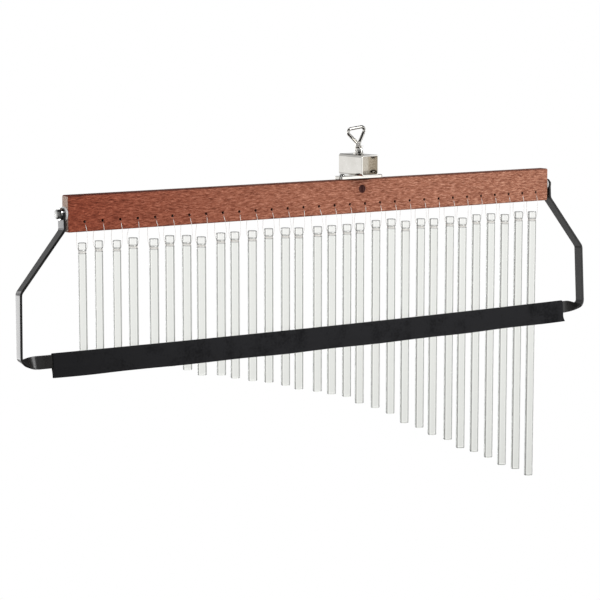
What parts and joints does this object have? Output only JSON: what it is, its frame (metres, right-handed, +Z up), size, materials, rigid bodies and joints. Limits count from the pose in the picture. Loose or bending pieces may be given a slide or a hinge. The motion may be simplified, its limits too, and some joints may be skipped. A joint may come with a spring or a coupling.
{
  "type": "glass bar chime",
  "caption": "Bar chime: a wooden bar with a row of hanging glass rods of rising length, a swinging felt damper below and a square stand clamp with a wire thumb screw on top.",
  "frame": {"origin": "centre of the clamp's square socket, where the stand's arm goes through", "axes": "+X along the bar towards the long rods, +Y away from the player, +Z up"},
  "size_m": [0.7254, 0.041, 0.4074],
  "materials": {
    "wood": "oiled reddish hardwood",
    "glass": "clear, fire polished",
    "black_steel": "satin black",
    "felt": "matte felt",
    "zinc": "zinc plated",
    "nickel": "bright nickel",
    "white_nylon": "moulded",
    "brass": "turned"
  },
  "bodies": {
    "bar": {"wooden_bar": "wood", "clamp_plate": "nickel", "clamp_tube": "nickel", "clamp_nut": "nickel", "centre_bolt": "zinc", "barrel_nut": "zinc", "pivot_bolt_left": "zinc", "pivot_washer_left": "zinc", "spacer_washer_left": "white_nylon", "pivot_insert_left": "brass", "plate_screw_left": "zinc", "pivot_bolt_right": "zinc", "pivot_washer_right": "zinc", "spacer_washer_right": "white_nylon", "pivot_insert_right": "brass", "plate_screw_right": "zinc"},
    "damper": {"damper_bracket": "black_steel", "damper_cloth": "felt"},
    "rod_01": {"glass_rod_01": "glass"},
    "rod_02": {"glass_rod_02": "glass"},
    "rod_03": {"glass_rod_03": "glass"},
    "rod_04": {"glass_rod_04": "glass"},
    "rod_05": {"glass_rod_05": "glass"},
    "rod_06": {"glass_rod_06": "glass"},
    "rod_07": {"glass_rod_07": "glass"},
    "rod_08": {"glass_rod_08": "glass"},
    "rod_09": {"glass_rod_09": "glass"},
    "rod_10": {"glass_rod_10": "glass"},
    "rod_11": {"glass_rod_11": "glass"},
    "rod_12": {"glass_rod_12": "glass"},
    "rod_13": {"glass_rod_13": "glass"},
    "rod_14": {"glass_rod_14": "glass"},
    "rod_15": {"glass_rod_15": "glass"},
    "rod_16": {"glass_rod_16": "glass"},
    "rod_17": {"glass_rod_17": "glass"},
    "rod_18": {"glass_rod_18": "glass"},
    "rod_19": {"glass_rod_19": "glass"},
    "rod_20": {"glass_rod_20": "glass"},
    "rod_21": {"glass_rod_21": "glass"},
    "rod_22": {"glass_rod_22": "glass"},
    "rod_23": {"glass_rod_23": "glass"},
    "rod_24": {"glass_rod_24": "glass"},
    "rod_25": {"glass_rod_25": "glass"},
    "rod_26": {"glass_rod_26": "glass"},
    "rod_27": {"glass_rod_27": "glass"},
    "rod_28": {"glass_rod_28": "glass"},
    "rod_29": {"glass_rod_29": "glass"},
    "rod_30": {"glass_rod_30": "glass"},
    "clamp_screw": {"clamp_screw": "nickel"},
    "thumb_loop": {"thumb_loop": "nickel"}
  },
  "joints": [
    {"name": "damper_swing", "type": "hinge", "parent": "bar", "child": "damper", "pos_m": [-0.046, 0, -0.033], "axis": [-1, 0, 0], "range_deg": [0, 160]},
    {"name": "rod_01_swing", "type": "hinge", "parent": "bar", "child": "rod_01", "pos_m": [-0.336, 0, -0.041], "axis": [0, 1, 0], "range_deg": [-3.8, 3.8]},
    {"name": "rod_02_swing", "type": "hinge", "parent": "bar", "child": "rod_02", "pos_m": [-0.316, 0, -0.041], "axis": [0, 1, 0], "range_deg": [-3.8, 3.8]},
    {"name": "rod_03_swing", "type": "hinge", "parent": "bar", "child": "rod_03", "pos_m": [-0.296, 0, -0.041], "axis": [0, 1, 0], "range_deg": [-3.3, 3.3]},
    {"name": "rod_04_swing", "type": "hinge", "parent": "bar", "child": "rod_04", "pos_m": [-0.276, 0, -0.041], "axis": [0, 1, 0], "range_deg": [-3.3, 3.3]},
    {"name": "rod_05_swing", "type": "hinge", "parent": "bar", "child": "rod_05", "pos_m": [-0.256, 0, -0.041], "axis": [0, 1, 0], "range_deg": [-2.9, 2.9]},
    {"name": "rod_06_swing", "type": "hinge", "parent": "bar", "child": "rod_06", "pos_m": [-0.236, 0, -0.041], "axis": [0, 1, 0], "range_deg": [-2.9, 2.9]},
    {"name": "rod_07_swing", "type": "hinge", "parent": "bar", "child": "rod_07", "pos_m": [-0.216, 0, -0.041], "axis": [0, 1, 0], "range_deg": [-2.4, 2.4]},
    {"name": "rod_08_swing", "type": "hinge", "parent": "bar", "child": "rod_08", "pos_m": [-0.196, 0, -0.041], "axis": [0, 1, 0], "range_deg": [-2.4, 2.4]},
    {"name": "rod_09_swing", "type": "hinge", "parent": "bar", "child": "rod_09", "pos_m": [-0.176, 0, -0.041], "axis": [0, 1, 0], "range_deg": [-2.1, 2.1]},
    {"name": "rod_10_swing", "type": "hinge", "parent": "bar", "child": "rod_10", "pos_m": [-0.156, 0, -0.041], "axis": [0, 1, 0], "range_deg": [-2.1, 2.1]},
    {"name": "rod_11_swing", "type": "hinge", "parent": "bar", "child": "rod_11", "pos_m": [-0.136, 0, -0.041], "axis": [0, 1, 0], "range_deg": [-3, 3]},
    {"name": "rod_12_swing", "type": "hinge", "parent": "bar", "child": "rod_12", "pos_m": [-0.116, 0, -0.041], "axis": [0, 1, 0], "range_deg": [-3, 3]},
    {"name": "rod_13_swing", "type": "hinge", "parent": "bar", "child": "rod_13", "pos_m": [-0.096, 0, -0.041], "axis": [0, 1, 0], "range_deg": [-1.9, 1.9]},
    {"name": "rod_14_swing", "type": "hinge", "parent": "bar", "child": "rod_14", "pos_m": [-0.076, 0, -0.041], "axis": [0, 1, 0], "range_deg": [-1.9, 1.9]},
    {"name": "rod_15_swing", "type": "hinge", "parent": "bar", "child": "rod_15", "pos_m": [-0.056, 0, -0.041], "axis": [0, 1, 0], "range_deg": [-2.2, 2.2]},
    {"name": "rod_16_swing", "type": "hinge", "parent": "bar", "child": "rod_16", "pos_m": [-0.036, 0, -0.041], "axis": [0, 1, 0], "range_deg": [-2.2, 2.2]},
    {"name": "rod_17_swing", "type": "hinge", "parent": "bar", "child": "rod_17", "pos_m": [-0.016, 0, -0.041], "axis": [0, 1, 0], "range_deg": [-1.7, 1.7]},
    {"name": "rod_18_swing", "type": "hinge", "parent": "bar", "child": "rod_18", "pos_m": [0.004, 0, -0.041], "axis": [0, 1, 0], "range_deg": [-1.7, 1.7]},
    {"name": "rod_19_swing", "type": "hinge", "parent": "bar", "child": "rod_19", "pos_m": [0.024, 0, -0.041], "axis": [0, 1, 0], "range_deg": [-2.4, 2.4]},
    {"name": "rod_20_swing", "type": "hinge", "parent": "bar", "child": "rod_20", "pos_m": [0.044, 0, -0.041], "axis": [0, 1, 0], "range_deg": [-2.1, 2.1]},
    {"name": "rod_21_swing", "type": "hinge", "parent": "bar", "child": "rod_21", "pos_m": [0.064, 0, -0.041], "axis": [0, 1, 0], "range_deg": [-2.1, 2.1]},
    {"name": "rod_22_swing", "type": "hinge", "parent": "bar", "child": "rod_22", "pos_m": [0.084, 0, -0.041], "axis": [0, 1, 0], "range_deg": [-1.6, 1.6]},
    {"name": "rod_23_swing", "type": "hinge", "parent": "bar", "child": "rod_23", "pos_m": [0.104, 0, -0.041], "axis": [0, 1, 0], "range_deg": [-1.6, 1.6]},
    {"name": "rod_24_swing", "type": "hinge", "parent": "bar", "child": "rod_24", "pos_m": [0.124, 0, -0.041], "axis": [0, 1, 0], "range_deg": [-1.5, 1.5]},
    {"name": "rod_25_swing", "type": "hinge", "parent": "bar", "child": "rod_25", "pos_m": [0.144, 0, -0.041], "axis": [0, 1, 0], "range_deg": [-1.5, 1.5]},
    {"name": "rod_26_swing", "type": "hinge", "parent": "bar", "child": "rod_26", "pos_m": [0.164, 0, -0.041], "axis": [0, 1, 0], "range_deg": [-1.8, 1.8]},
    {"name": "rod_27_swing", "type": "hinge", "parent": "bar", "child": "rod_27", "pos_m": [0.184, 0, -0.041], "axis": [0, 1, 0], "range_deg": [-1.7, 1.7]},
    {"name": "rod_28_swing", "type": "hinge", "parent": "bar", "child": "rod_28", "pos_m": [0.204, 0, -0.041], "axis": [0, 1, 0], "range_deg": [-1.7, 1.7]},
    {"name": "rod_29_swing", "type": "hinge", "parent": "bar", "child": "rod_29", "pos_m": [0.224, 0, -0.041], "axis": [0, 1, 0], "range_deg": [-1.6, 1.6]},
    {"name": "rod_30_swing", "type": "hinge", "parent": "bar", "child": "rod_30", "pos_m": [0.244, 0, -0.041], "axis": [0, 1, 0], "range_deg": [-1.6, 1.6]},
    {"name": "clamp_screw_feed", "type": "slide", "parent": "bar", "child": "clamp_screw", "axis": [0, 0, 1], "range_m": [0, 0.004]},
    {"name": "thumb_loop_turn", "type": "hinge", "parent": "clamp_screw", "child": "thumb_loop", "pos_m": [0, 0, 0.0197], "axis": [0, 0, 1], "range_deg": [0, 1800]}
  ],
  "couplings": [
    {"joint": "clamp_screw_feed", "follows": "thumb_loop_turn", "m_per_rad": 0.00012732}
  ]
}
